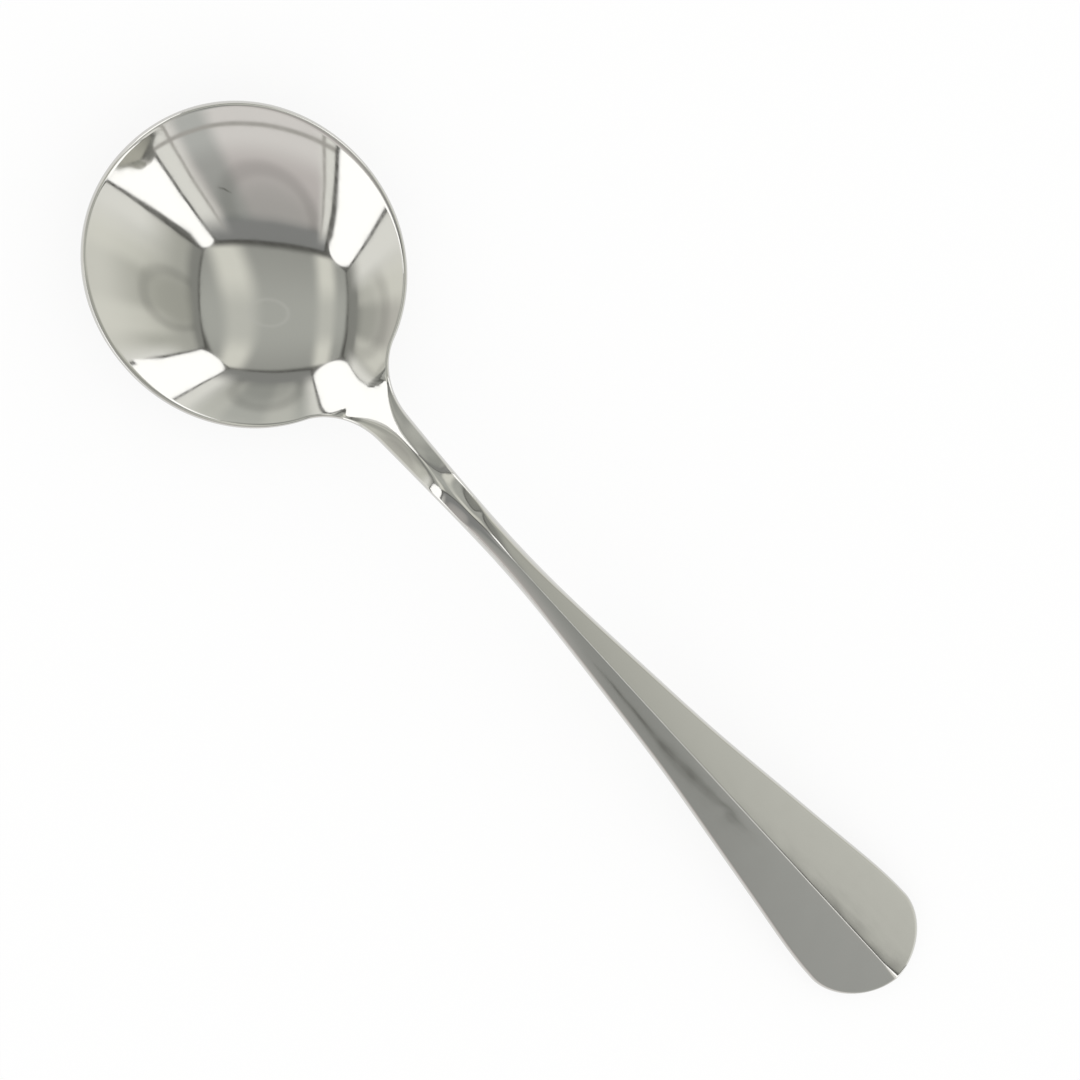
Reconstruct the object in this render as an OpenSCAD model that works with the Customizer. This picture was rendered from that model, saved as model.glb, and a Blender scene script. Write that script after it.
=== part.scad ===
// Round-bowled soup spoon, pressed from one blank of stainless steel.
// The bowl lies at -X and the handle runs along +X, at rest on z = 0.

/* [Bowl] */
// Length of the bowl from its tip to its back rim
bowl_length = 48.3; // [42:0.1:56]
// Width of the bowl over its rim
bowl_width = 44.5; // [38:0.5:52]
// Depth of the bowl below its rim, inside
bowl_depth = 9.2; // [7:0.2:11]
// Thickness of the bowl's wall
bowl_wall = 1.4; // [1:0.1:2]
// How much higher the tip's rim lies than the back rim, at rest
tip_rise = 1.7; // [0:0.1:2.5]
// Inward depth of the rounding along the edges of the bowl and the handle
edge_round = 0.5; // [0.3:0.05:0.7]

/* [Neck] */
// Radius of the sweep in plan from the bowl into the neck
neck_sweep = 9.9; // [7:0.1:13]
// Width of the neck where that sweep ends
neck_width = 5.6; // [5:0.1:8]
// Length of the neck, from there to the narrowest place of the stem
neck_length = 23.8; // [18:0.1:28]
// Thickness of the neck at its root
neck_thick = 4.4; // [3.6:0.1:5]
// Climb of the neck out of the bowl, in degrees
neck_pitch = 36; // [28:1:40]
// Length over which the bevels cut in, from the bowl's rim to the neck's ridge
bevel_run = 12.4; // [9:0.1:14]
// Drop of a bevel below the ridge, at the neck's side
bevel_drop = 1.1; // [0.7:0.1:1.6]
// Length over which the bevels fade out again on the stem
bevel_fade = 20; // [14:1:24]
// How far back from the waist the bevels end in small shoulders
shoulder_back = 5.5; // [4:0.5:8]
// Length over which a bevel's crease runs out to its shoulder
shoulder_run = 4; // [3:0.5:6]

/* [Handle] */
// Length of the handle from the waist to its widest place
flare_length = 86.3; // [75:0.1:110]
// Width of the stem at the waist
waist_width = 4.1; // [3.6:0.1:4.9]
// Width of the handle at its widest place
handle_width = 19.3; // [15:0.1:24]
// Length of the rounded end past the widest place
end_length = 9.6; // [7:0.1:14]
// Thickness of the handle at its end, over the ridge
end_thick = 3; // [2.6:0.1:3.6]
// Height over the table at which the lines of the neck and the handle would cross
bend_height = 21.5; // [17:0.5:25]
// Rounding of the bend between those two lines
bend_round = 4; // [3:0.5:6]
// Upward bow of the handle over a straight line
handle_bow = 1; // [0:0.1:2]
// Height of the handle's ridge over its two sides, at the widest place
ridge_rise = 1.35; // [0.8:0.05:1.5]
// Rounding across the ridge
ridge_round = 0.1; // [0.1:0.05:0.6]
// Bulge of the facet on each side of the ridge
facet_bulge = 0.1; // [0:0.05:0.3]
// Inward depth of the broader rounding along the stem
stem_round = 0.9; // [0.6:0.05:1]
// Length past the waist over which the stem's rounding narrows again
stem_run = 14; // [8:1:24]

/* [Hidden] */

// Flare of the handle from waist to widest place, as shares of the gain in width
flare_shares = [-0.03, 0.07, 0.225, 0.37, 0.61, 0.825, 1.085];
// Share of the bowl's depth that follows the square of the distance from the middle
bowl_square_share = 0.77;
// Exponents of the outline round the bowl's tip and the handle's end, of the neck's
// taper and of the handle's thinning
tip_share = 2.06;
end_share = 1.9;
taper_share = 1.9;
thin_share = 1.8;
// Rise of the underside towards the sides, at the neck and at the handle's end
neck_belly = 1.25;
end_belly = 0.35;
// Rounding of the bevels' creases
crease_round = 0.5;
// Blend between the bowl's inside and the neck's top
root_blend = 1.2;
// Blend between the bowl's outside and the neck's underside
heel_blend = 1.6;
// Height over the rim that keeps the neck's top clear of the bowl
rim_clear = 2;
// Least thickness left between the top and the underside at an edge, and the share of
// it that rounds the place where that takes over
edge_land = 0.7;
land_soft_share = 0.25;
// How far before the bowl's back rim the bevels start, and how soon they are full,
// as shares of bevel_run
bevel_early_share = 0.12;
bevel_full_share = 0.4;
// Factor that makes the bow's curve q (1 - q)^2 peak at 1
bow_share = 27 / 4;
// How far towards the edge the fans of the bowl and the end spread, as shares
bowl_fan_share = 0.45;
end_fan_share = 0.55;
// Stations along each stretch of the outline
tip_count = 16;
back_count = 14;
sweep_count = 8;
neck_count = 24;
flare_count = 20;
end_count = 10;
// Places across a half of the top and the underside, as shares from the middle
top_shares = [0, 0.05, 0.12, 0.2, 0.3, 0.41, 0.53, 0.66, 0.79, 0.9, 1];
under_shares = [1, 0.85, 0.65, 0.45, 0.22, 0];
// Steps of the rounding round an edge
edge_steps = 5;

bowl_half = bowl_length / 2;
bowl_side = bowl_width / 2;
neck_side = neck_width / 2;
waist_side = waist_width / 2;
end_side = handle_width / 2;

function ramp(t) = let (u = min(1, max(0, t))) u * u * (3 - 2 * u);
function lower_of(a, b, soft) = (a + b - sqrt((a - b) * (a - b) + soft * soft)) / 2;
function higher_of(a, b, soft) = (a + b + sqrt((a - b) * (a - b) + soft * soft)) / 2;

// Uniform cubic B-spline through its control values v, with t from 0 to 1 and level ends
function held(v, i) = let (n = len(v) - 1) i < 0 ? v[1] : i > n ? v[n - 1] : v[i];
function spline(v, t) =
    let (n = len(v) - 1, p = min(1, max(0, t)) * n, i = min(n - 1, floor(p)), f = p - i)
    ((1 - f) * (1 - f) * (1 - f) * held(v, i - 1)
        + (4 - 6 * f * f + 3 * f * f * f) * held(v, i)
        + (1 + 3 * f + 3 * f * f - 3 * f * f * f) * held(v, i + 1)
        + f * f * f * held(v, i + 2)) / 6;

// The bowl's outline is a slightly squared oval at the tip and an ellipse at the back,
// about the origin. The neck's sweep is an arc that touches the ellipse and the neck's
// side, whose slope there follows the taper.
neck_slope = atan(taper_share * (neck_side - waist_side) / neck_length);
function tip_point(a) =
    [-bowl_half * pow(cos(a), 2 / tip_share), bowl_side * pow(sin(a), 2 / tip_share)];
function oval(a) = [-bowl_half * cos(a), bowl_side * sin(a)];
function oval_normal(a) = let (n = [-bowl_side * cos(a), bowl_half * sin(a)]) n / norm(n);
function sweep_centre(a) = oval(a) + neck_sweep * oval_normal(a);
function touch_angle(lo, hi, n) = let (mid = (lo + hi) / 2)
    n == 0 ? mid
    : sweep_centre(mid)[1] > neck_side + neck_sweep * cos(neck_slope) ? touch_angle(mid, hi, n - 1)
    : touch_angle(lo, mid, n - 1);
touch = touch_angle(90, 180, 30);
touch_x = oval(touch)[0];
sweep_mid = sweep_centre(touch);
sweep_from = atan2(-oval_normal(touch)[1], -oval_normal(touch)[0]) + 360;
sweep_to = 270 - neck_slope;
root_x = sweep_mid[0] + neck_sweep * cos(sweep_to);
waist_x = root_x + neck_length;
widest_x = waist_x + flare_length;
end_x = widest_x + end_length;
middle_x = (end_x - bowl_half) / 2;
shoulder_x = waist_x - shoulder_back;

// Half-width of the neck and handle, past the sweep
function side_at(x) =
    x <= root_x ? neck_side
    : x < waist_x ? waist_side
        + (neck_side - waist_side) * pow((waist_x - x) / neck_length, taper_share)
    : waist_side + (end_side - waist_side) * spline(flare_shares, (x - waist_x) / flare_length);

// The same with the sweep, which is where the bevels start
function flank_at(x) =
    x < touch_x ? bowl_side
    : x < root_x ? sweep_mid[1] - sqrt(neck_sweep * neck_sweep - pow(x - sweep_mid[0], 2))
    : side_at(x);

// The outline of one side, from the bowl's tip to the handle's end
function end_point(a) =
    [widest_x + end_length * pow(sin(a), 2 / end_share), end_side * pow(cos(a), 2 / end_share)];
rim_points = concat(
    [for (i = [0:tip_count - 1]) tip_point(90 * i / tip_count)],
    [for (i = [0:back_count - 1]) oval(90 + (touch - 90) * i / back_count)],
    [for (i = [0:sweep_count - 1])
        let (a = sweep_from + (sweep_to - sweep_from) * i / sweep_count)
        sweep_mid + neck_sweep * [cos(a), sin(a)]],
    [for (i = [0:neck_count - 1]) let (x = root_x + neck_length * i / neck_count) [x, side_at(x)]],
    [for (i = [0:flare_count - 1]) let (x = waist_x + flare_length * i / flare_count) [x, side_at(x)]],
    [for (i = [0:end_count]) end_point(90 * i / end_count)]);
last = len(rim_points) - 1;

// Where each station starts on the middle line: fans at both ends, square between
function middle_of(x) =
    x < 0 ? x * bowl_fan_share
    : x < root_x ? let (q = x / root_x)
        root_x * (bowl_fan_share * q + (1 - bowl_fan_share) * q * q * q)
    : x > widest_x ? widest_x + (x - widest_x) * end_fan_share
    : x;

// Inside of the bowl, as a height over its lowest place
function bowl_inside(x, y) =
    let (r = pow(x / bowl_half, 2) + pow(y / bowl_side, 2))
    bowl_depth * (bowl_square_share * r + (1 - bowl_square_share) * r * r)
        - tip_rise * x / bowl_length;
function bowl_steep(x, y) =
    let (r = pow(x / bowl_half, 2) + pow(y / bowl_side, 2),
        g = 2 * bowl_depth * (bowl_square_share + 2 * (1 - bowl_square_share) * r))
    norm([g * x / (bowl_half * bowl_half), g * y / (bowl_side * bowl_side)]);
function bowl_outside(x, y) =
    bowl_inside(x, y) - bowl_wall * sqrt(1 + pow(bowl_steep(x, y), 2));
bowl_floor = -min([for (i = [0:back_count]) bowl_outside(bowl_half * i / back_count, 0)]);

// Thickness over the middle line, and the rise of the underside to the sides
function along(x) = min(1, max(0, (x - root_x) / (end_x - root_x)));
function thin_at(x) = pow(1 - along(x), thin_share);
function thick_at(x) = end_thick + (neck_thick - end_thick) * thin_at(x);
function belly_at(x) = end_belly + (neck_belly - end_belly) * thin_at(x);

// Top of the neck and handle along the middle line: the neck climbs straight from the
// bowl's back rim, the handle falls in a slight bow, and the bend rounds their crossing.
// The handle's end is seated on z = 0.
rim_back = bowl_floor + bowl_inside(bowl_half, 0) + root_blend / 2;
bend_x = bowl_half + (bend_height - rim_back) / tan(neck_pitch);
function climb(x) = rim_back + (x - bowl_half) * tan(neck_pitch);
function fall(x) =
    let (q = (x - bend_x) / (end_x - bend_x), held_q = min(1, max(0, q)))
    bend_height + (end_thick - bend_height) * q
        + handle_bow * bow_share * held_q * (1 - held_q) * (1 - held_q);
function free_arch(x) = lower_of(climb(x), fall(x), bend_round);
end_gap = min([for (i = [0:flare_count])
    let (x = widest_x + end_length * (2 * i / flare_count - 1)) free_arch(x) - thick_at(x)]);
function arch_at(x) = free_arch(x) - end_gap * ramp(along(x));

// Neck bevels: a straight slope outside a crease. The crease runs in from the rim to the
// middle, which makes the ridge, and out again to the shoulders.
bevel_from = bowl_half - bevel_run * bevel_early_share;
function soft_over(t) = (t + sqrt(t * t + crease_round * crease_round)) / 2;
function rounded(y, soft) = sqrt(y * y + soft * soft);
bevel_slope = bevel_drop
    / (soft_over(rounded(neck_side, crease_round)) - soft_over(crease_round));
function bevel_part(x) = min(ramp((x - bevel_from) / bevel_run),
    1 - ramp((x - shoulder_x + shoulder_run) / shoulder_run));
function bevel_on(x) = ramp((x - bevel_from) / (bevel_run * bevel_full_share))
    * (1 - ramp((x - shoulder_x - shoulder_run + bevel_fade) / bevel_fade));
function bevel(x, y) =
    let (flat = flank_at(x) * (1 - bevel_part(x)))
    bevel_on(x) * bevel_slope
        * (soft_over(rounded(y, crease_round) - flat) - soft_over(crease_round - flat));

// Drop of the stem and the handle to their sides: two bulged facets and their ridge
function crown(x, y) =
    ramp((x - root_x) / neck_length)
        * (ridge_rise / end_side * (rounded(y, ridge_round) - ridge_round)
            + facet_bulge * pow(y / flank_at(x), 2));

// Underside: the bowl's back and the handle's belly, which lifts clear of the bowl
function heel_lift(x) = bowl_depth * pow(max(0, root_x - x) / bowl_half, 2);
function under(x, y) =
    lower_of(bowl_outside(x, y) + bowl_floor,
        arch_at(x) - thick_at(x) + heel_lift(x) + belly_at(x) * pow(y / side_at(x), 2), heel_blend);

// Top: the bowl's inside and the neck's top, less the bevels and the crown. Over the
// bowl the neck's top is held above the rim, so that only the inside counts there.
function over_rim(x) =
    bowl_floor + bowl_depth + rim_clear - bend_height * ramp((x - touch_x) / bevel_run);
function upper(x, y) =
    let (neck = higher_of(arch_at(x), over_rim(x), root_blend),
        body = lower_of(bowl_inside(x, y) + bowl_floor, neck, root_blend))
    higher_of(body - bevel(x, y) - crown(x, y), under(x, y) + edge_land,
        edge_land * land_soft_share);

// Inward depth of the rounded edge, which is broader along the stem
function round_at(x) =
    edge_round + (stem_round - edge_round) * ramp((x - shoulder_x + shoulder_run) / shoulder_run)
        * (1 - ramp((x - waist_x) / stem_run));

// One half of a ring: out over the top, round the edge and back underneath
function rim_normal(i) =
    let (before = i == 0 ? [rim_points[1][0], -rim_points[1][1]] : rim_points[i - 1],
        after = i == last ? [rim_points[last - 1][0], -rim_points[last - 1][1]] : rim_points[i + 1],
        t = after - before)
    [-t[1], t[0]] / norm(t);
function half_ring(i) =
    let (rim = rim_points[i], out = rim_normal(i) * round_at(rim[0]), edge = rim - out,
        start = [middle_of(rim[0]), 0],
        top_z = upper(edge[0], edge[1]), low_z = under(edge[0], edge[1]))
    concat(
        [for (s = top_shares) let (p = start + (edge - start) * s) [p[0], p[1], upper(p[0], p[1])]],
        [for (k = [1:edge_steps - 1])
            let (a = 90 - 180 * k / edge_steps, p = rim - (1 - cos(a)) * out)
            [p[0], p[1], (top_z + low_z) / 2 + (top_z - low_z) / 2 * sin(a)]],
        [for (s = under_shares) let (p = start + (edge - start) * s) [p[0], p[1], under(p[0], p[1])]]);

halves = [for (i = [0:last]) half_ring(i)];
half_count = len(halves[0]);
ring_count = 2 * half_count - 2;

// Whole rings: the +Y half, then the same mirrored. Both end rings lie folded in the
// middle plane, so their two halves share points and need no cap.
ring_points = [for (h = halves) each concat(
    h, [for (j = [half_count - 2:-1:1]) [h[j][0], -h[j][1], h[j][2]]])];
function point_at(i, j) = let (k = j % ring_count)
    i * ring_count + ((i == 0 || i == last) && k >= half_count ? ring_count - k : k);
ring_faces = [for (i = [0:last - 1], j = [0:ring_count - 1]) each [
    [point_at(i, j), point_at(i + 1, j), point_at(i + 1, j + 1)],
    [point_at(i, j), point_at(i + 1, j + 1), point_at(i, j + 1)]]];

module spoon() {
    color("silver")
        translate([-middle_x, 0, 0])
            polyhedron(points = ring_points, faces = ring_faces, convexity = 6);
}

spoon();
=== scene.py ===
import bpy
import numpy as np
from mathutils import Matrix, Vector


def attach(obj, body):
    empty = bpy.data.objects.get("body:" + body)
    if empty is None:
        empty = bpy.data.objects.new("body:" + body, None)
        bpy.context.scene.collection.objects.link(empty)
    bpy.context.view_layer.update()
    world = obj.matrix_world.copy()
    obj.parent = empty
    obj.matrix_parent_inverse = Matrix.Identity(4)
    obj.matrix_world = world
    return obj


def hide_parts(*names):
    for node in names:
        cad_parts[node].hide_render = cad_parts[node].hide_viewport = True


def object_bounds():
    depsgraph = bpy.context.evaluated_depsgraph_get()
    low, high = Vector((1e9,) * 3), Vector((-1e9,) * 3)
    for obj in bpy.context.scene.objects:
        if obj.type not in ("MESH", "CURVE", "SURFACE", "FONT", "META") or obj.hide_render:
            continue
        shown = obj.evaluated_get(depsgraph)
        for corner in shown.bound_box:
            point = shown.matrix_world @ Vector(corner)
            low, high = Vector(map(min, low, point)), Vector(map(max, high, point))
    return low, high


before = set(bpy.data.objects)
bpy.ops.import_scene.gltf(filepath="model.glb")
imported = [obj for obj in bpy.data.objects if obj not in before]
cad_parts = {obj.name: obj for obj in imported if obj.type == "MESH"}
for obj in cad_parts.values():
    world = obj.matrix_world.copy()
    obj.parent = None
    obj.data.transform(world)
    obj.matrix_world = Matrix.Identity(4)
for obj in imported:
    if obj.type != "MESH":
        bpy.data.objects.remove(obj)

CAD_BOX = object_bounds()
MM = 0.001

# Bowl, in millimetres
BOWL_LENGTH = 48.3
BOWL_WIDTH = 44.5
BOWL_DEPTH = 9.2
BOWL_WALL = 1.4
BOWL_SQUARE_SHARE = 0.77
TIP_SHARE = 2.06
TIP_RISE = 1.7
EDGE_ROUND = 0.5
EDGE_LAND = 0.7
LAND_BLEND = 0.175

# Neck, in millimetres
NECK_SWEEP = 9.9
NECK_WIDTH = 5.6
NECK_LENGTH = 23.8
NECK_THICK = 4.4
NECK_BELLY = 1.25
SHOULDER_BACK = 5.5
SHOULDER_RUN = 4.0
BEVEL_RUN = 12.4
BEVEL_DROP = 1.1
BEVEL_EARLY_SHARE = 0.12
BEVEL_FULL_SHARE = 0.4
BEVEL_FADE = 20.0
CREASE_ROUND = 0.5
ROOT_BLEND = 1.2
HEEL_BLEND = 1.6
RIM_CLEAR = 2.0
TAPER_SHARE = 1.9

# Handle, in millimetres
FLARE_LENGTH = 86.3
WAIST_WIDTH = 4.1
HANDLE_WIDTH = 19.3
END_LENGTH = 9.6
END_THICK = 3.0
END_BELLY = 0.35
END_SHARE = 1.9
THIN_SHARE = 1.8
RIDGE_RISE = 1.35
FACET_BULGE = 0.1
BEND_HEIGHT = 21.5
BEND_ROUND = 4.0
NECK_PITCH = 36.0
HANDLE_BOW = 1.0
STEM_ROUND = 0.9
STEM_RUN = 14.0
FLARE_SHARES = (-0.03, 0.07, 0.225, 0.37, 0.61, 0.825, 1.085)
# The ridge's rounding: finer on the handle than the solid's facets can hold, and wide on
# the stem, where the photograph shows no line; the change between the two is this long
RIDGE_ROUND = 0.042
RIDGE_STEM_ROUND = 0.5
RIDGE_RUN = 6.0
RIDGE_EARLY_SHARE = 0.7

# Fineness of the mesh: stations along the outline, places across a half
TIP_STATIONS, BACK_STATIONS, SWEEP_STATIONS = 50, 44, 26
NECK_STATIONS, FLARE_STATIONS, END_STATIONS = 90, 110, 30
TOP_PLACES, EDGE_PLACES, UNDER_PLACES = 64, 10, 30
# Power that packs the places closer towards the ridge
RIDGE_PACKING = 1.5
BOWL_FAN_SHARE = 0.45
END_FAN_SHARE = 0.55

# What brings the highest point of q (1 - q)^2 to 1
BOW_FACTOR = 27 / 4
# Halvings in the search for the sweep's touch, and places looked at for a lowest point
HALVINGS = 40
PLACES = 100
bowl_half, bowl_side = BOWL_LENGTH / 2, BOWL_WIDTH / 2
neck_side, waist_side, end_side = NECK_WIDTH / 2, WAIST_WIDTH / 2, HANDLE_WIDTH / 2


def ramp(t):
    """Smooth step from 0 to 1: 3u^2 - 2u^3 of t held between 0 and 1."""
    u = np.clip(t, 0, 1)
    return u * u * (3 - 2 * u)


def lower_of(a, b, soft):
    """Lower of two heights, with a hyperbolic fillet: half of a + b - sqrt((a-b)^2 + soft^2)."""
    return (a + b - np.sqrt((a - b) ** 2 + soft ** 2)) / 2


def higher_of(a, b, soft):
    """Higher of two heights, with the same fillet."""
    return (a + b + np.sqrt((a - b) ** 2 + soft ** 2)) / 2


def spline(shares, t, level):
    """Uniform cubic B-spline of the control shares at t from 0 to 1.

    Level ends mirror the neighbour of the last share, the others run on straight.
    """
    v = np.asarray(shares, float)
    n = len(v) - 1
    before = v[1] if level else 2 * v[0] - v[1]
    after = v[n - 1] if level else 2 * v[n] - v[n - 1]
    w = np.concatenate([[before], v, [after]])
    p = np.clip(t, 0, 1) * n
    i = np.minimum(n - 1, np.floor(p)).astype(int)
    f = p - i
    return ((1 - f) ** 3 * w[i] + (4 - 6 * f ** 2 + 3 * f ** 3) * w[i + 1]
            + (1 + 3 * f + 3 * f ** 2 - 3 * f ** 3) * w[i + 2] + f ** 3 * w[i + 3]) / 6


def oval(a):
    """The bowl's back outline: an ellipse, with a from pi/2 at its width to pi at the back."""
    return np.stack([-bowl_half * np.cos(a), bowl_side * np.sin(a)], -1)


def squared_oval(a):
    """The tip's outline: the same with its cosine and sine to a power a little below 1."""
    return np.stack([-bowl_half * np.cos(a) ** (2 / TIP_SHARE),
                     bowl_side * np.sin(a) ** (2 / TIP_SHARE)], -1)


def oval_normal(a):
    """Outward unit normal of that ellipse."""
    n = np.stack([-bowl_side * np.cos(a), bowl_half * np.sin(a)], -1)
    return n / np.linalg.norm(n, axis=-1, keepdims=True)


def sweep_centre(a):
    """Centre of an arc of the neck's sweep that touches the ellipse at a."""
    return oval(a) + NECK_SWEEP * oval_normal(a)


def find_touch():
    """Angle where the sweep touches the bowl, halved in on until it meets the neck's side."""
    lo, hi = np.pi / 2, np.pi
    for _ in range(HALVINGS):
        mid = (lo + hi) / 2
        if sweep_centre(mid)[1] > neck_side + NECK_SWEEP * np.cos(neck_slope):
            lo = mid
        else:
            hi = mid
    return (lo + hi) / 2


neck_slope = np.arctan(TAPER_SHARE * (neck_side - waist_side) / NECK_LENGTH)
touch = find_touch()
sweep_mid = sweep_centre(touch)
sweep_from = np.arctan2(-oval_normal(touch)[1], -oval_normal(touch)[0]) + 2 * np.pi
sweep_to = 1.5 * np.pi - neck_slope
root_x = sweep_mid[0] + NECK_SWEEP * np.cos(sweep_to)
waist_x = root_x + NECK_LENGTH
widest_x = waist_x + FLARE_LENGTH
end_x = widest_x + END_LENGTH
middle_x = (end_x - bowl_half) / 2
shoulder_x = waist_x - SHOULDER_BACK
bevel_from = bowl_half - BEVEL_RUN * BEVEL_EARLY_SHARE


def side_at(x):
    """Half-width past the sweep: a power taper to the waist, then the flare's spline."""
    taper = np.clip((waist_x - x) / NECK_LENGTH, 0, 1) ** TAPER_SHARE
    neck = waist_side + (neck_side - waist_side) * taper
    flare = waist_side + (end_side - waist_side) * spline(
        FLARE_SHARES, (x - waist_x) / FLARE_LENGTH, True)
    return np.where(x < waist_x, neck, flare)


def flank_at(x):
    """Half-width with the arc of the sweep, which is where the bevels start."""
    arc = sweep_mid[1] - np.sqrt(np.maximum(0, NECK_SWEEP ** 2 - (x - sweep_mid[0]) ** 2))
    return np.where(x < oval(touch)[0], bowl_side, np.where(x < root_x, arc, side_at(x)))


def rim_outline():
    """Outline of one side from the bowl's tip to the handle's end, stretch by stretch.

    These are the squared oval, the ellipse's arc, the sweep's circle, the neck's taper,
    the flare's spline, and the end, which is a squared oval too.
    """
    def share(count, last=False):
        """Even shares from 0, up to 1 only where the stretch is the last."""
        return np.linspace(0, 1, count, endpoint=last)
    arc = sweep_from + (sweep_to - sweep_from) * share(SWEEP_STATIONS)
    neck = root_x + NECK_LENGTH * share(NECK_STATIONS)
    flare = waist_x + FLARE_LENGTH * share(FLARE_STATIONS)
    end = share(END_STATIONS, True) * np.pi / 2
    return np.concatenate([
        squared_oval(share(TIP_STATIONS) * np.pi / 2),
        oval(np.pi / 2 + (touch - np.pi / 2) * share(BACK_STATIONS)),
        sweep_mid + NECK_SWEEP * np.stack([np.cos(arc), np.sin(arc)], -1),
        np.stack([neck, side_at(neck)], -1),
        np.stack([flare, side_at(flare)], -1),
        np.stack([widest_x + END_LENGTH * np.sin(end) ** (2 / END_SHARE),
                  end_side * np.cos(end).clip(0) ** (2 / END_SHARE)], -1)])


def bowl_inside(x, y):
    """Inside of the bowl: a share of its depth follows r^2 and the rest r^4, tipped up at the tip."""
    r = (x / bowl_half) ** 2 + (y / bowl_side) ** 2
    return (BOWL_DEPTH * (BOWL_SQUARE_SHARE * r + (1 - BOWL_SQUARE_SHARE) * r * r)
            - TIP_RISE * x / BOWL_LENGTH)


def bowl_outside(x, y):
    """Back of the bowl: the inside less the wall, measured square to the slope."""
    r = (x / bowl_half) ** 2 + (y / bowl_side) ** 2
    g = 2 * BOWL_DEPTH * (BOWL_SQUARE_SHARE + 2 * (1 - BOWL_SQUARE_SHARE) * r)
    steep = (g * x / bowl_half ** 2) ** 2 + (g * y / bowl_side ** 2) ** 2
    return bowl_inside(x, y) - BOWL_WALL * np.sqrt(1 + steep)


bowl_floor = -bowl_outside(np.linspace(0, bowl_half / 2, PLACES), 0).min()


def along(x):
    """Share of the way from the neck's root to the handle's end."""
    return np.clip((x - root_x) / (end_x - root_x), 0, 1)


def thin_at(x):
    """1 at the neck's root and 0 at the handle's end, as a power of the way that is left."""
    return (1 - along(x)) ** THIN_SHARE


def thick_at(x):
    """Thickness over the middle line, from the neck's to the end's."""
    return END_THICK + (NECK_THICK - END_THICK) * thin_at(x)


def belly_at(x):
    """Rise of the underside from the middle line to the sides."""
    return END_BELLY + (NECK_BELLY - END_BELLY) * thin_at(x)


rim_back = bowl_floor + float(bowl_inside(bowl_half, 0)) + ROOT_BLEND / 2
bend_x = bowl_half + (BEND_HEIGHT - rim_back) / np.tan(np.radians(NECK_PITCH))


def free_arch(x):
    """Top along the middle: a straight neck and a slightly bowed handle, bent into each other."""
    q = (x - bend_x) / (end_x - bend_x)
    held = np.clip(q, 0, 1)
    fall = (BEND_HEIGHT + (END_THICK - BEND_HEIGHT) * q
            + HANDLE_BOW * BOW_FACTOR * held * (1 - held) ** 2)
    rise = rim_back + (x - bowl_half) * np.tan(np.radians(NECK_PITCH))
    return lower_of(rise, fall, BEND_ROUND)


end_places = np.linspace(widest_x - END_LENGTH, end_x, PLACES)
end_gap = (free_arch(end_places) - thick_at(end_places)).min()


def arch_at(x):
    """The same, seated so that the handle's end just touches the table."""
    return free_arch(x) - end_gap * ramp(along(x))


def soft_over(t):
    """What of t is over 0, with a hyperbolic fillet: half of t + sqrt(t^2 + crease^2)."""
    return (t + np.sqrt(t * t + CREASE_ROUND ** 2)) / 2


def rounded(y):
    """Distance from the middle line with the ridge rounded: sqrt(y^2 + crease^2)."""
    return np.sqrt(y * y + CREASE_ROUND ** 2)


bevel_slope = BEVEL_DROP / (soft_over(rounded(neck_side)) - soft_over(CREASE_ROUND))


def bevel(x, y):
    """Drop of the neck's bevels: a straight slope outside a crease.

    The crease runs in from the rim to the middle, which makes the ridge, and out again
    to the shoulders, where the stem's top face begins.
    """
    part = np.minimum(ramp((x - bevel_from) / BEVEL_RUN),
                      1 - ramp((x - shoulder_x + SHOULDER_RUN) / SHOULDER_RUN))
    full = (ramp((x - bevel_from) / (BEVEL_RUN * BEVEL_FULL_SHARE))
            * (1 - ramp((x - shoulder_x - SHOULDER_RUN + BEVEL_FADE) / BEVEL_FADE)))
    flat = flank_at(x) * (1 - part)
    return full * bevel_slope * (soft_over(rounded(y) - flat) - soft_over(CREASE_ROUND - flat))


def crown(x, y):
    """Drop to the sides: two facets, a little bulged, that meet in a ridge.

    The ridge is a hyperbola, sqrt(y^2 + soft^2) - soft, whose soft is its rounding.
    """
    full = ramp((x - root_x) / NECK_LENGTH)
    stem = 1 - ramp((x - waist_x) / RIDGE_RUN + RIDGE_EARLY_SHARE)
    soft = RIDGE_ROUND + (RIDGE_STEM_ROUND - RIDGE_ROUND) * stem
    ridge = RIDGE_RISE / end_side * (np.sqrt(y * y + soft ** 2) - soft)
    return full * (ridge + FACET_BULGE * (y / flank_at(x)) ** 2)


def under(x, y):
    """Underside: the bowl's back and the handle's belly, with a fillet between them.

    The belly rises by the square of the way to the side, and is lifted off the bowl by
    the square of the way in from the neck's root.
    """
    lift = BOWL_DEPTH * (np.maximum(0, root_x - x) / bowl_half) ** 2
    belly = arch_at(x) - thick_at(x) + lift + belly_at(x) * (y / side_at(x)) ** 2
    return lower_of(bowl_outside(x, y) + bowl_floor, belly, HEEL_BLEND)


def upper(x, y):
    """Top: the bowl's inside and the neck's top with a fillet, less bevels and crown."""
    over_rim = (bowl_floor + BOWL_DEPTH + RIM_CLEAR
                - BEND_HEIGHT * ramp((x - oval(touch)[0]) / BEVEL_RUN))
    neck = higher_of(arch_at(x), over_rim, ROOT_BLEND)
    body = lower_of(bowl_inside(x, y) + bowl_floor, neck, ROOT_BLEND)
    return higher_of(body - bevel(x, y) - crown(x, y), under(x, y) + EDGE_LAND, LAND_BLEND)


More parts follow.
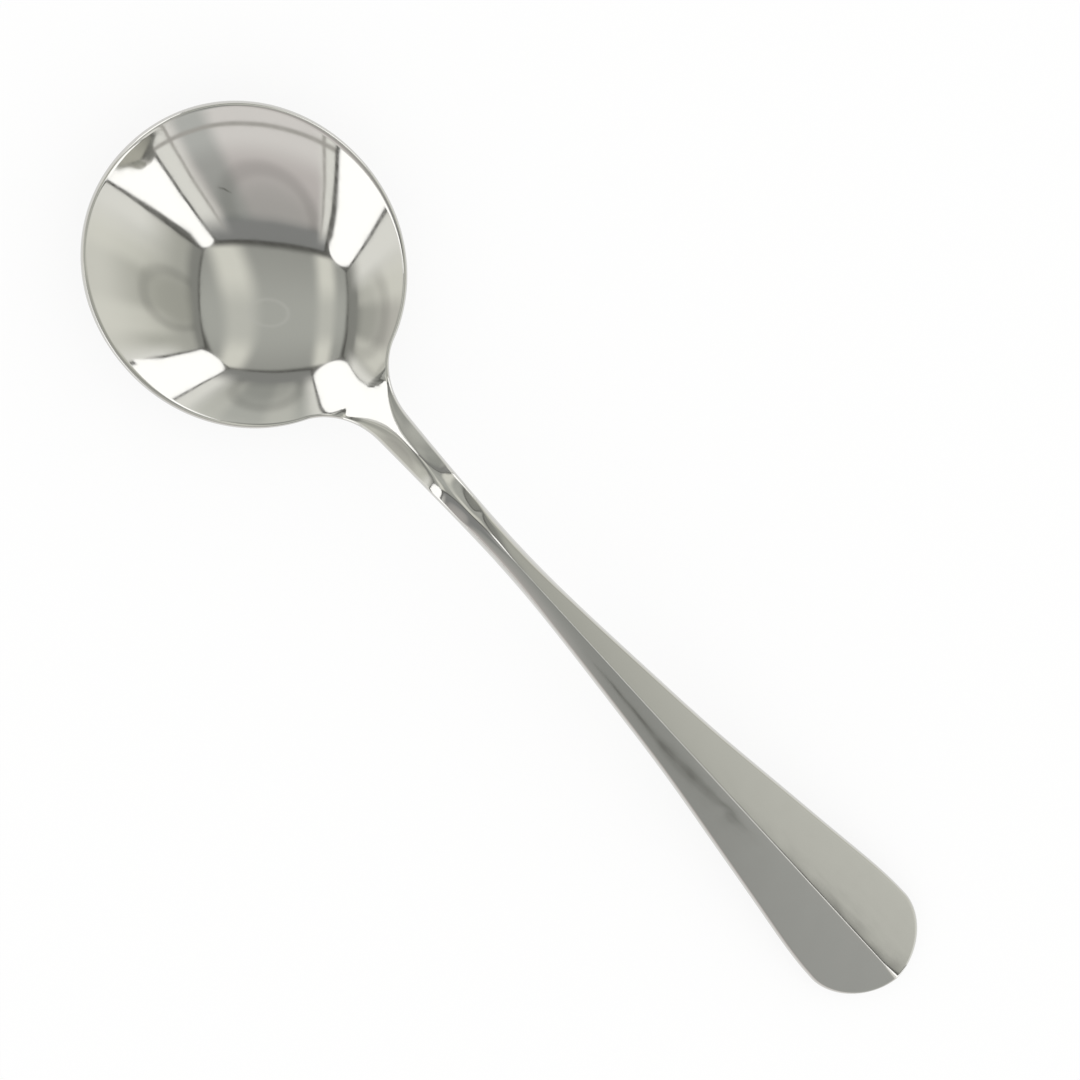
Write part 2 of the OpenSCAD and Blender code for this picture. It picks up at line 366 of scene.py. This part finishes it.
def middle_of(x):
    """Where a station starts on the middle line: fans at both ends, square between.

    The fan behind the bowl's middle opens out by a share of the way to the neck's root
    and the rest of its cube.
    """
    q = np.clip(x / root_x, 0, 1)
    back = root_x * (BOWL_FAN_SHARE * q + (1 - BOWL_FAN_SHARE) * q ** 3)
    start = np.where(x < 0, x * BOWL_FAN_SHARE, np.where(x < root_x, back, x))
    return np.where(x > widest_x, widest_x + (x - widest_x) * END_FAN_SHARE, start)


def round_at(x):
    """Width of the rounded edge: broader along the stem than on the bowl and the handle."""
    stem = (ramp((x - shoulder_x + SHOULDER_RUN) / SHOULDER_RUN)
            * (1 - ramp((x - waist_x) / STEM_RUN)))
    return EDGE_ROUND + (STEM_ROUND - EDGE_ROUND) * stem


def spoon_grid():
    """Half rings, one for each station: over the top, round the edge, back underneath.

    Every point lies at a share of the way from the middle line to the edge, at the
    height of the top or the underside. The edge is half an ellipse between the two.
    """
    rim = rim_outline()
    mirror = np.array([1, -1])
    padded = np.concatenate([rim[1:2] * mirror, rim, rim[-2:-1] * mirror])
    tangent = padded[2:] - padded[:-2]
    out = np.stack([-tangent[:, 1], tangent[:, 0]], -1)
    out /= np.linalg.norm(out, axis=1, keepdims=True)
    width = round_at(rim[:, :1])
    edge = rim - width * out
    start = np.stack([middle_of(rim[:, 0]), np.zeros(len(rim))], -1)
    top_share = np.linspace(0, 1, TOP_PLACES) ** RIDGE_PACKING
    low_share = np.linspace(1, 0, UNDER_PLACES)
    top = start[:, None] + (edge - start)[:, None] * top_share[None, :, None]
    low = start[:, None] + (edge - start)[:, None] * low_share[None, :, None]
    top = np.concatenate([top, upper(top[..., 0], top[..., 1])[..., None]], -1)
    low = np.concatenate([low, under(low[..., 0], low[..., 1])[..., None]], -1)
    turn = np.pi / 2 - np.pi * np.arange(1, EDGE_PLACES) / EDGE_PLACES
    plan = rim[:, None] - (1 - np.cos(turn))[None, :, None] * (width * out)[:, None]
    top_z, low_z = top[:, -1, 2], low[:, 0, 2]
    height = (top_z + low_z)[:, None] / 2 + (top_z - low_z)[:, None] / 2 * np.sin(turn)
    nose = np.concatenate([plan, height[..., None]], -1)
    return np.concatenate([top, nose, low], 1)


def spoon_mesh(name):
    """Whole rings: each half ring and its mirror image, sewn with quads along the outline."""
    half = spoon_grid()
    count, width = half.shape[:2]
    other = half[:, -2:0:-1] * np.array([1, -1, 1])
    ring = np.concatenate([half, other], 1)
    around = ring.shape[1]
    index = np.arange(count)[:, None] * around + np.arange(around)[None, :]
    fold = np.arange(around)
    fold = np.where(fold >= width, around - fold, fold)
    index[0] = fold
    index[-1] = (count - 1) * around + fold
    a, b = index[:-1], index[1:]
    quads = np.stack([a, np.roll(a, -1, 1), np.roll(b, -1, 1), b], -1).reshape(-1, 4)
    used = np.unique(quads)
    renumber = np.zeros(count * around, int)
    renumber[used] = np.arange(len(used))
    points = (ring.reshape(-1, 3)[used] - np.array([middle_x, 0, 0])) * MM
    quads = renumber[quads]
    mesh = bpy.data.meshes.new(name)
    mesh.from_pydata(points.tolist(), [], quads.tolist())
    mesh.polygons.foreach_set("use_smooth", np.ones(len(quads), bool))
    mesh.update()
    return mesh


def linear(hex_colour):
    """sRGB hex colour as linear red, green, blue and alpha, by the sRGB standard's curve."""
    parts = np.array([int(hex_colour[i:i + 2], 16) for i in (1, 3, 5)]) / 255
    parts = np.where(parts <= 0.04045, parts / 12.92, ((parts + 0.055) / 1.055) ** 2.4)
    return (*parts.tolist(), 1.0)


def add_node(tree, kind, sources=(), **settings):
    """Add one node: settings are its properties, and sources what its open sockets take.

    Sources go to the sockets in order or by name. Each is a number or tuple, a hex
    colour, another node, which stands for its first open output, or one of its outputs.
    """
    node = tree.nodes.new(kind)
    for key, value in settings.items():
        setattr(node, key, value)
    named = isinstance(sources, dict)
    open_sockets = [socket for socket in node.inputs if socket.enabled]
    for key, value in sources.items() if named else enumerate(sources):
        socket = node.inputs[key] if named else open_sockets[key]
        if isinstance(value, bpy.types.Node):
            value = next(output for output in value.outputs if output.enabled)
        if isinstance(value, bpy.types.NodeSocket):
            tree.links.new(value, socket)
        else:
            socket.default_value = linear(value) if isinstance(value, str) else value
    return node


def new_tree(name):
    """A new material and its empty node tree."""
    material = bpy.data.materials.new(name)
    material.use_nodes = True
    material.node_tree.nodes.clear()
    return material, material.node_tree


# Polished steel: its colour; the length and width in millimetres of a patch of the
# buffing wheel's haze, its noise and its roughness from least to most; and the swim of
# the hand-held polish: the size of a wave, its height in millimetres and its strength
STEEL_COLOUR = "#cdccc8"
HAZE_LENGTH, HAZE_WIDTH = 16.5, 1.1
HAZE_DETAIL, HAZE_GRAIN, HAZE_RANGE = 3, 0.6, (0.3, 0.7)
POLISH_ROUGHNESS = (0.045, 0.085)
SWIM_SIZE, SWIM_HEIGHT, SWIM_STRENGTH = 6.2, 0.4, 0.04


def polished_stainless_steel():
    """18/10 stainless steel, rolled, coined and mirror polished: reflections stay sharp
    but swim a little, and a haze of fine polishing lines softens them along the spoon."""
    material, tree = new_tree("polished_stainless_steel")
    place = add_node(tree, "ShaderNodeTexCoord").outputs["Object"]
    along_haze, across_haze = 1 / (HAZE_LENGTH * MM), 1 / (HAZE_WIDTH * MM)
    drawn = add_node(tree, "ShaderNodeMapping", {
        "Vector": place, "Scale": (along_haze, across_haze, across_haze)})
    haze = add_node(tree, "ShaderNodeTexNoise", {
        "Vector": drawn, "Scale": 1, "Detail": HAZE_DETAIL, "Roughness": HAZE_GRAIN})
    rough = add_node(tree, "ShaderNodeMapRange", (haze, *HAZE_RANGE, *POLISH_ROUGHNESS))
    swim = add_node(tree, "ShaderNodeTexNoise", {
        "Vector": place, "Scale": 1 / (SWIM_SIZE * MM), "Detail": 1})
    bump = add_node(tree, "ShaderNodeBump", {
        "Height": swim, "Strength": SWIM_STRENGTH, "Distance": SWIM_HEIGHT * MM})
    steel = add_node(tree, "ShaderNodeBsdfPrincipled", {
        "Base Color": STEEL_COLOUR, "Metallic": 1, "Roughness": rough, "Normal": bump})
    add_node(tree, "ShaderNodeOutputMaterial", {"Surface": steel})
    return material


def build_spoon():
    """The whole spoon as one piece, which rides the root and stands for the CAD solid."""
    mesh = spoon_mesh("spoon_surface")
    spoon = bpy.data.objects.new("spoon_surface", mesh)
    bpy.context.collection.objects.link(spoon)
    mesh.materials.append(polished_stainless_steel())
    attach(spoon, "root")
    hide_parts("spoon")


# Camera: its place over the table in millimetres, and two of its axes in the part's frame
CAMERA_PLACE = (-177.606, 5.316, 599.953)
CAMERA_RIGHT = (0.645921, 0.739734, 0.188626)
CAMERA_LOOK = (0.281350, -0.000977, -0.959605)
FOCAL_PIXELS = 4250.4
PHOTO_PIXELS = 1080.0
SENSOR_WIDTH = 36.0
# Nearest and farthest that it sees, in metres
CAMERA_REACH = (0.01, 20)


def build_camera():
    """The camera at the photograph's viewing angle, distance and perspective."""
    data = bpy.data.cameras.new("camera")
    data.sensor_width = SENSOR_WIDTH
    data.lens = FOCAL_PIXELS / PHOTO_PIXELS * SENSOR_WIDTH
    data.clip_start, data.clip_end = CAMERA_REACH
    camera = bpy.data.objects.new("camera", data)
    bpy.context.collection.objects.link(camera)
    back = -np.array(CAMERA_LOOK)
    back /= np.linalg.norm(back)
    up = np.cross(back, CAMERA_RIGHT)
    up /= np.linalg.norm(up)
    right = np.cross(up, back)
    axes = Matrix(np.stack([right, up, back], -1).tolist()).to_4x4()
    camera.matrix_world = Matrix.Translation(np.array(CAMERA_PLACE) * MM) @ axes
    bpy.context.scene.camera = camera


# Light tent, in shares of its height along the photograph's right and up, as seen from
# the bowl. "roof" and "foot" are the corners of a wall, left and right.
# "greys" are the wall's shades by height, from its foot up; the last is the shade under
# the roof, which also covers the disc.
# "disc" is the round shade of the camera's hood: its grey, its middle and its half sizes,
# as shares of the wall. "column" is an upright streak beside the disc: its colour and
# strength, and its places across. "pale_left" and "pale_right" say where the cloth turns
# pale towards its sides, and "low" the heights between which columns and pale sides die
# away. The tent's height is in metres.
TENT_HEIGHT = 2.5
TENT_TURN = np.arctan2(CAMERA_RIGHT[1], CAMERA_RIGHT[0])
TENT_WALLS = {
    "north": {
        "roof": ((0.470, 0.891), (-0.459, 0.924)), "foot": ((1.19, 1.0), (-0.275, 1.0)),
        "greys": ((0.0, "#f0f0ec"), (0.4, "#c0c2bd"), (0.70, "#afb1ac"), (0.85, "#90918f")),
        "disc": ("#959793", (0.56, 0.80), (0.34, 0.34)), "column": ("#eeeee6", 0.30, (0.28, 0.72)),
        "pale_left": (0.08, 0.26), "pale_right": (0.84, 1.0), "low": (0.70, 0.95)},
    "west": {
        "roof": ((-0.945, 0.810), (-0.884, -0.216)), "foot": ((-1.0, 1.21), (-1.0, -0.888)),
        "greys": ((0.0, "#e0dfda"), (0.4, "#cbcac4"), (0.72, "#bcbdb6"), (0.86, "#91928e")),
        "disc": ("#a6a7a1", (0.56, 0.80), (0.38, 0.36)), "column": ("#eeeee6", 0.75, (0.28, 0.72)),
        "pale_left": (0.06, 0.22), "pale_right": (0.72, 0.88), "low": (0.72, 0.97)},
    "south": {
        "roof": ((-0.600, -0.356), (0.345, -0.345)), "foot": ((-0.415, -0.9), (0.674, -0.9)),
        "greys": ((0.2, "#eae7e6"), (0.45, "#cfcac9"), (0.74, "#bebab8"), (0.85, "#8f9090")),
        "disc": ("#adadab", (0.45, 0.78), (0.33, 0.37)), "column": ("#778883", 0.42, (0.72,)),
        "pale_left": (0.05, 0.14), "pale_right": (0.78, 0.90), "low": (0.72, 0.97)},
    "east": {
        "roof": ((0.465, -0.275), (0.674, 0.635)), "foot": ((1.1, -0.779), (1.1, 0.471)),
        "greys": ((0.1, "#e2e2db"), (0.56, "#c2c3bb"), (0.84, "#b9bab3"), (0.95, "#91928e")),
        "disc": ("#a3a49b", (0.53, 0.80), (0.25, 0.32)), "column": ("#f0f0e8", 0.55, (0.28, 0.72)),
        "pale_left": (0.08, 0.32), "pale_right": (0.86, 1.0), "low": (0.42, 0.84)},
}
# What all walls share: the glow of their cloth, their pale sides, their dark seams, which
# start and end as shares of the way out to a side or up to the roof, and how far the
# piping reaches past their corners
CLOTH_GLOW = 1.2
SIDE_WHITE = "#f4f4f0"
# The seams' grey also paints the dark ring of the hood's painted shade and the dark edge round each
# lamp box's opening
SEAM_AND_SHADE_GREY = "#5e5e5b"
SIDE_SEAM = (0.965, 0.99)
ROOF_SEAM = (0.975, 0.995)
PIPING = 0.013
# The column streaks: how far from their middle they start to fade and end
COLUMN_NEAR, COLUMN_FAR = 0.04, 0.14
# The hood's disc of painted shade: where its edge starts and ends, how strong it and its dark ring
# are
DISC_EDGE, DISC_SHARE = (0.4, 1.1), 0.45
RING_PLACE, RING_NEAR, RING_FAR, RING_SHARE = 0.9, 0.03, 0.24, 0.22
# The shade under the roof starts this far below the last of the greys
SHADE_RUN = 0.05
# One wall is hemmed near its foot and along both sides
HEMMED_WALL = "south"
HEM_HEIGHT, HEM_NEAR, HEM_FAR = 0.12, 0.006, 0.03
SIDE_HEMS, SIDE_HEM_NEAR, SIDE_HEM_FAR = (0.08, 0.865), 0.004, 0.016
HEM_GREY = "#b4b2ae"
# The roof: its greys from the middle to both ends
ROOF_GREY, ROOF_END_GREY, ROOF_END_SHARE = "#b9bbb6", "#a0a19d", 0.7
ROOF_ENDS, ROOF_EDGE = (0.1, 1.0), (0.88, 0.98)
# Its two pale bands: their places across, how they fade, and how the second bows and leans
BAND_WHITE = "#eeeee6"
BAND_PLACE, BAND_NEAR, BAND_FAR = 0.22, 0.02, 0.11
BOWED_PLACE, BOWED_NEAR, BOWED_FAR = 0.70, 0.03, 0.13
BAND_BOW, BAND_LEAN, BAND_LEAN_MIDDLE = 0.12, 0.125, 0.344
# Where they brighten towards the corners, and their strength before and after
BAND_BRIGHT, BAND_STRENGTH = (0.15, 0.6), (0.4, 0.9)
# The lens in the roof's opening: its place across and up, its half sizes and its ring
LENS_PLACE, LENS_HALF = (0.57, 0.44), (0.11, 0.10)
LENS_RING, LENS_NEAR, LENS_FAR = 0.9, 0.03, 0.14
LENS_GREY, LENS_SHARE = "#cbccc8", 0.45
bowl_place = np.array([-middle_x, 0]) * MM
# Rows of points up a wall
WALL_ROWS = 17
# Kinds of node that the cloths use often, and how their steps run
MATH, MIX, STEP = "ShaderNodeMath", "ShaderNodeMix", "ShaderNodeMapRange"
SMOOTH = {"interpolation_type": "SMOOTHSTEP"}


def tent_point(share, height):
    """A point of the tent from its shares, turned from the photograph's right to the
    part's frame and moved to the bowl's middle, in metres."""
    c, s = np.cos(TENT_TURN), np.sin(TENT_TURN)
    x, y = np.array(share) * TENT_HEIGHT
    return np.array([bowl_place[0] + c * x - s * y, bowl_place[1] + s * x + c * y, height])


def sheet(name, points, faces, places, material):
    """Flat goods of the stage, which only reflections show. Each point's place across and
    up the cloth is its UV."""
    mesh = bpy.data.meshes.new(name)
    mesh.from_pydata(np.reshape(points, (-1, 3)).tolist(), [], faces)
    corners = np.zeros(len(mesh.loops), int)
    mesh.loops.foreach_get("vertex_index", corners)
    layer = mesh.uv_layers.new(name="across")
    layer.data.foreach_set("uv", np.reshape(places, (-1, 2))[corners].ravel())
    mesh.materials.append(material)
    flat = bpy.data.objects.new(name, mesh)
    bpy.context.collection.objects.link(flat)
    flat.visible_camera = False
    flat.visible_diffuse = False
    flat.visible_shadow = False


def strip_faces(rows):
    """Quads between the rows of a strip that is two points wide."""
    return (2 * np.arange(rows - 1)[:, None] + np.array([0, 1, 3, 2])).tolist()


def streak(tree, value, middle, near, far):
    """1 within near of the middle and 0 beyond far from it, with a smooth step between."""
    shift = add_node(tree, MATH, (value, middle), operation="SUBTRACT")
    away = add_node(tree, MATH, (shift,), operation="ABSOLUTE")
    return add_node(tree, STEP, (away, near, far, 1, 0), **SMOOTH)


def laid(tree, under, over, factor, share):
    """A colour laid over another with a share of the factor's strength."""
    strength = add_node(tree, MATH, (factor, share), operation="MULTIPLY")
    return add_node(tree, MIX, (strength, under, over), data_type="RGBA")


def glowing(tree, colour, strength):
    """Cloth lit evenly from behind, as an emission of its colour."""
    light = add_node(tree, "ShaderNodeEmission", (colour, strength))
    add_node(tree, "ShaderNodeOutputMaterial", {"Surface": light})


def cloth_place(tree):
    """How far across the cloth, up it, and out from its middle to a side and to an end."""
    place = add_node(tree, "ShaderNodeSeparateXYZ", (add_node(tree, "ShaderNodeUVMap"),))
    across, up = place.outputs["X"], place.outputs["Y"]
    outward = []
    for part in (across, up):
        centred = add_node(tree, MATH, (part, 2, -1), operation="MULTIPLY_ADD")
        outward.append(add_node(tree, MATH, (centred,), operation="ABSOLUTE"))
    return across, up, *outward


def disc_reach(tree, across, up, place, half_sizes):
    """Distance from a disc's middle, sqrt((x/a)^2 + (y/b)^2), so that 1 is its edge."""
    squares = []
    for part, middle, half in zip((across, up), place, half_sizes):
        shift = add_node(tree, MATH, (part, middle), operation="SUBTRACT")
        share = add_node(tree, MATH, (shift, half), operation="DIVIDE")
        squares.append(add_node(tree, MATH, (share, share), operation="MULTIPLY"))
    total = add_node(tree, MATH, squares, operation="ADD")
    return add_node(tree, MATH, (total,), operation="SQRT")


def hood_shade(tree, across, up, colour, disc):
    """The shade of the camera's round hood on a wall: a soft disc with a darker ring."""
    grey, place, half = disc
    reach = disc_reach(tree, across, up, place, half)
    inside = add_node(tree, STEP, (reach, *DISC_EDGE, 1, 0), **SMOOTH)
    colour = laid(tree, colour, grey, inside, DISC_SHARE)
    # Painted shade: the hood's darker ring, in the seams' grey
    ring = streak(tree, reach, RING_PLACE, RING_NEAR, RING_FAR)
    return laid(tree, colour, SEAM_AND_SHADE_GREY, ring, RING_SHARE)


def wall_cloth(side, look):
    """Nylon of the tent's wall: grey under the roof, paler down to its foot and at both
    sides, with the shade of the camera's round hood, hems, and seams at its edges."""
    material, tree = new_tree("tent_%s_cloth" % side)
    across, up, aside, _ = cloth_place(tree)
    low = add_node(tree, STEP, (up, *look["low"], 1, 0), **SMOOTH)
    colour = add_node(tree, "ShaderNodeValToRGB", (up,))
    colour.color_ramp.interpolation = "EASE"
    for place, grey in look["greys"][1:-1]:
        colour.color_ramp.elements.new(place)
    for stop, (place, grey) in zip(colour.color_ramp.elements, look["greys"]):
        stop.position = place
        stop.color = linear(grey)
    column_grey, column_share, column_places = look["column"]
    for place in column_places:
        column = streak(tree, across, place, COLUMN_NEAR, COLUMN_FAR)
        column = add_node(tree, MATH, (column, low), operation="MULTIPLY")
        colour = laid(tree, colour, column_grey, column, column_share)
    colour = hood_shade(tree, across, up, colour, look["disc"])
    shade_place, shade_grey = look["greys"][-1]
    shade = add_node(tree, STEP, (up, shade_place - SHADE_RUN, shade_place), **SMOOTH)
    colour = laid(tree, colour, shade_grey, shade, 1)
    pale_right = add_node(tree, STEP, (across, *look["pale_right"]), **SMOOTH)
    pale_left = add_node(tree, STEP, (across, *look["pale_left"], 1, 0), **SMOOTH)
    pale = add_node(tree, MATH, (pale_right, pale_left), operation="MAXIMUM")
    colour = laid(tree, colour, SIDE_WHITE, pale, low)
    if side == HEMMED_WALL:
        hem = streak(tree, up, HEM_HEIGHT, HEM_NEAR, HEM_FAR)
        colour = laid(tree, colour, HEM_GREY, hem, 1)
        for place in SIDE_HEMS:
            hem = streak(tree, across, place, SIDE_HEM_NEAR, SIDE_HEM_FAR)
            colour = laid(tree, colour, HEM_GREY, hem, low)
    side_seam = add_node(tree, STEP, (aside, *SIDE_SEAM), **SMOOTH)
    roof_seam = add_node(tree, STEP, (up, *ROOF_SEAM), **SMOOTH)
    seam = add_node(tree, MATH, (side_seam, roof_seam), operation="MAXIMUM")
    glowing(tree, laid(tree, colour, SEAM_AND_SHADE_GREY, seam, 1), CLOTH_GLOW)
    return material


def roof_bands(tree, across, up, along_up):
    """Where the roof's two pale bands lie: the first is straight, and the second bows by
    the square of the way out from the middle and leans by the way up."""
    square = add_node(tree, MATH, (along_up, along_up), operation="MULTIPLY")
    bow = add_node(tree, MATH, (square, BAND_BOW), operation="MULTIPLY")
    rise = add_node(tree, MATH, (up, BAND_LEAN_MIDDLE), operation="SUBTRACT")
    shift = add_node(tree, MATH, (rise, BAND_LEAN, bow), operation="MULTIPLY_ADD")
    bowed = add_node(tree, MATH, (across, shift), operation="SUBTRACT")
    straight_band = streak(tree, across, BAND_PLACE, BAND_NEAR, BAND_FAR)
    bowed_band = streak(tree, bowed, BOWED_PLACE, BOWED_NEAR, BOWED_FAR)
    return add_node(tree, MATH, (straight_band, bowed_band), operation="MAXIMUM")


def roof_cloth():
    """Nylon of the roof: greyer to both ends, with a pale band along each side that is
    brightest at the corners, a dark seam round it and the pale ring of the lens."""
    material, tree = new_tree("tent_roof_cloth")
    across, up, aside, along_up = cloth_place(tree)
    ends = add_node(tree, STEP, (along_up, *ROOF_ENDS), **SMOOTH)
    colour = laid(tree, ROOF_GREY, ROOF_END_GREY, ends, ROOF_END_SHARE)
    bright = add_node(tree, STEP, (along_up, *BAND_BRIGHT, *BAND_STRENGTH), **SMOOTH)
    bands = roof_bands(tree, across, up, along_up)
    colour = laid(tree, colour, BAND_WHITE, bands, bright)
    reach = disc_reach(tree, across, up, LENS_PLACE, LENS_HALF)
    ring = streak(tree, reach, LENS_RING, LENS_NEAR, LENS_FAR)
    colour = laid(tree, colour, LENS_GREY, ring, LENS_SHARE)
    edge = add_node(tree, MATH, (aside, along_up), operation="MAXIMUM")
    seam = add_node(tree, STEP, (edge, *ROOF_EDGE), **SMOOTH)
    glowing(tree, laid(tree, colour, SEAM_AND_SHADE_GREY, seam, 1), CLOTH_GLOW)
    return material


def wall_point(side, places):
    """Points of a wall from their places across and up it, along straight lines first
    from foot to roof and then from its left corners to its right ones."""
    across, up = places[..., :1], places[..., 1:]
    left, right = [tent_point(foot, 0) * (1 - up) + tent_point(roof, TENT_HEIGHT) * up
                   for foot, roof in zip(TENT_WALLS[side]["foot"], TENT_WALLS[side]["roof"])]
    return left * (1 - across) + right * across


def wall(side):
    """A wall of the tent as rows of quads, so that its UV runs straight up from the foot.

    It is a little wider than its corners say, which is its piping.
    """
    sides = np.array([-PIPING, 1 + PIPING])
    up = np.linspace(0, 1, WALL_ROWS)
    places = np.stack(np.meshgrid(sides, up), -1)
    sheet("tent_" + side, wall_point(side, places), strip_faces(WALL_ROWS), places,
          wall_cloth(side, TENT_WALLS[side]))


# A fold in a wall, painted as a dark strip of shade, as places across and up it, which the
# handle's long flat facet draws out to a dark streak; half its width as a share of the wall,
# how far inside the wall it hangs, and the grey of its painted shade
FOLD_WALL = "south"
FOLD = np.array([
    (0.678, 0.630), (0.694, 0.622), (0.705, 0.610), (0.714, 0.598),
    (0.731, 0.592), (0.743, 0.586), (0.753, 0.582)])
FOLD_HALF = 0.0035
FOLD_INSIDE = 0.99
FOLD_SHADE_GREY = "#6e6e6a"


def build_fold_shade():
    """A narrow dark strip of painted shade just inside the wall, where it folds, tapered to both ends
    by a sine.
    """
    material, tree = new_tree("fold_shade")
    # The strip glows in the grey of the fold's painted shade
    glowing(tree, FOLD_SHADE_GREY, 1)
    step_middles = np.linspace(0, 1, 2 * len(FOLD) + 1)[1::2]
    half = FOLD_HALF * np.sin(np.pi * step_middles)
    shift = half[:, None] * np.array([-1, 1])
    places = FOLD[:, None] + shift[..., None]
    centre = np.array([*bowl_place, 0])
    points = centre + (wall_point(FOLD_WALL, places) - centre) * FOLD_INSIDE
    sheet("wall_fold_shade", points, strip_faces(len(FOLD)), places, material)


# Lamp boxes behind the tent's open corners: how far out they stand, how far past the gap
# they reach on each side, how bright they are, the middle of their width, how long the
# round end of their openings is for the gap's width, and where its edge starts and ends
LAMP_OUT = 1.06
LAMP_PAST = 0.25
LAMP_GLOW = 1.7
LAMP_WHITE = "#ffffff"
LAMP_MIDDLE = 0.5
LAMP_ROUND = 0.4
LAMP_EDGE = (0.93, 1.03)


def lamp_cloth(name, end):
    """White cloth of a lamp box, seen through an opening with a round end at the roof."""
    material, tree = new_tree(name + "_cloth")
    across, up, _, _ = cloth_place(tree)
    straight = 1 - end
    half = LAMP_MIDDLE / (1 + 2 * LAMP_PAST)
    past_straight = add_node(tree, MATH, (up, straight), operation="MAXIMUM")
    reach = disc_reach(tree, across, past_straight, (LAMP_MIDDLE, straight), (half, end))
    beyond = add_node(tree, STEP, (reach, *LAMP_EDGE), **SMOOTH)
    glowing(tree, laid(tree, LAMP_WHITE, SEAM_AND_SHADE_GREY, beyond, 1), LAMP_GLOW)
    return material


def lamp_box(name, top, foot):
    """A lamp box as one panel behind the gap between two walls, from roof to foot."""
    points = []
    for pair, height in ((foot, 0), (top, TENT_HEIGHT * LAMP_OUT)):
        a, b = np.array(pair) * LAMP_OUT
        points += [tent_point(a - (b - a) * LAMP_PAST, height),
                   tent_point(b + (b - a) * LAMP_PAST, height)]
    end = LAMP_ROUND * float(np.linalg.norm(np.subtract(*top)))
    places = [(0, 0), (1, 0), (0, 1), (1, 1)]
    sheet(name, points, strip_faces(2), places, lamp_cloth(name, end))


def build_tent():
    """The walls with a lamp box behind each corner, the painted shade of a fold in a wall, and the
    roof.
    """
    sides = list(TENT_WALLS)
    for side, after in zip(sides, sides[1:] + sides[:1]):
        wall(side)
        this, following = TENT_WALLS[side], TENT_WALLS[after]
        lamp_box("lamp_box_" + side, (this["roof"][1], following["roof"][0]),
                 (this["foot"][1], following["foot"][0]))
    build_fold_shade()
    flat = np.array([corner for look in TENT_WALLS.values() for corner in look["roof"]])
    places = (flat - flat.min(0)) / (flat.max(0) - flat.min(0))
    sheet("tent_roof", [tent_point(corner, TENT_HEIGHT) for corner in flat],
          [list(range(len(flat)))], places, roof_cloth())


# Table: its white, the share of a plain even white in what the camera and the steel see
# of it, and how far it reaches from its middle, in metres
TABLE_WHITE = "#fdfdfc"
TABLE_EVEN = 0.8
TABLE_REACH = 4.0
PLAIN_WHITE = "#ffffff"


def white_table():
    """Matt white laminate under even light: the spoon's shadow on it stays faint."""
    material, tree = new_tree("white_table")
    path = add_node(tree, "ShaderNodeLightPath").outputs
    seen = add_node(tree, MATH, (path["Is Camera Ray"], path["Is Glossy Ray"]),
                    operation="MAXIMUM")
    share = add_node(tree, MATH, (seen, TABLE_EVEN), operation="MULTIPLY")
    matt = add_node(tree, "ShaderNodeBsdfDiffuse", (TABLE_WHITE,))
    even = add_node(tree, "ShaderNodeEmission", (PLAIN_WHITE, 1))
    top = add_node(tree, "ShaderNodeMixShader", (share, matt, even))
    add_node(tree, "ShaderNodeOutputMaterial", {"Surface": top})
    return material


def build_table():
    """A square of table top at the height of the spoon's lowest point."""
    corners = [(TABLE_REACH * a, TABLE_REACH * b, CAD_BOX[0][2])
               for a, b in ((-1, -1), (1, -1), (1, 1), (-1, 1))]
    mesh = bpy.data.meshes.new("table")
    mesh.from_pydata(corners, [], [(0, 1, 2, 3)])
    mesh.materials.append(white_table())
    table = bpy.data.objects.new("table", mesh)
    bpy.context.collection.objects.link(table)


def build_world():
    """Plain white surroundings of strength 1."""
    world = bpy.data.worlds.new("surroundings")
    world.use_nodes = True
    tree = world.node_tree
    tree.nodes.clear()
    light = add_node(tree, "ShaderNodeBackground", (PLAIN_WHITE, 1))
    add_node(tree, "ShaderNodeOutputWorld", {"Surface": light})
    bpy.context.scene.world = world


build_camera()
build_spoon()
build_tent()
build_table()
build_world()
bpy.context.scene.view_settings.view_transform = "Standard"
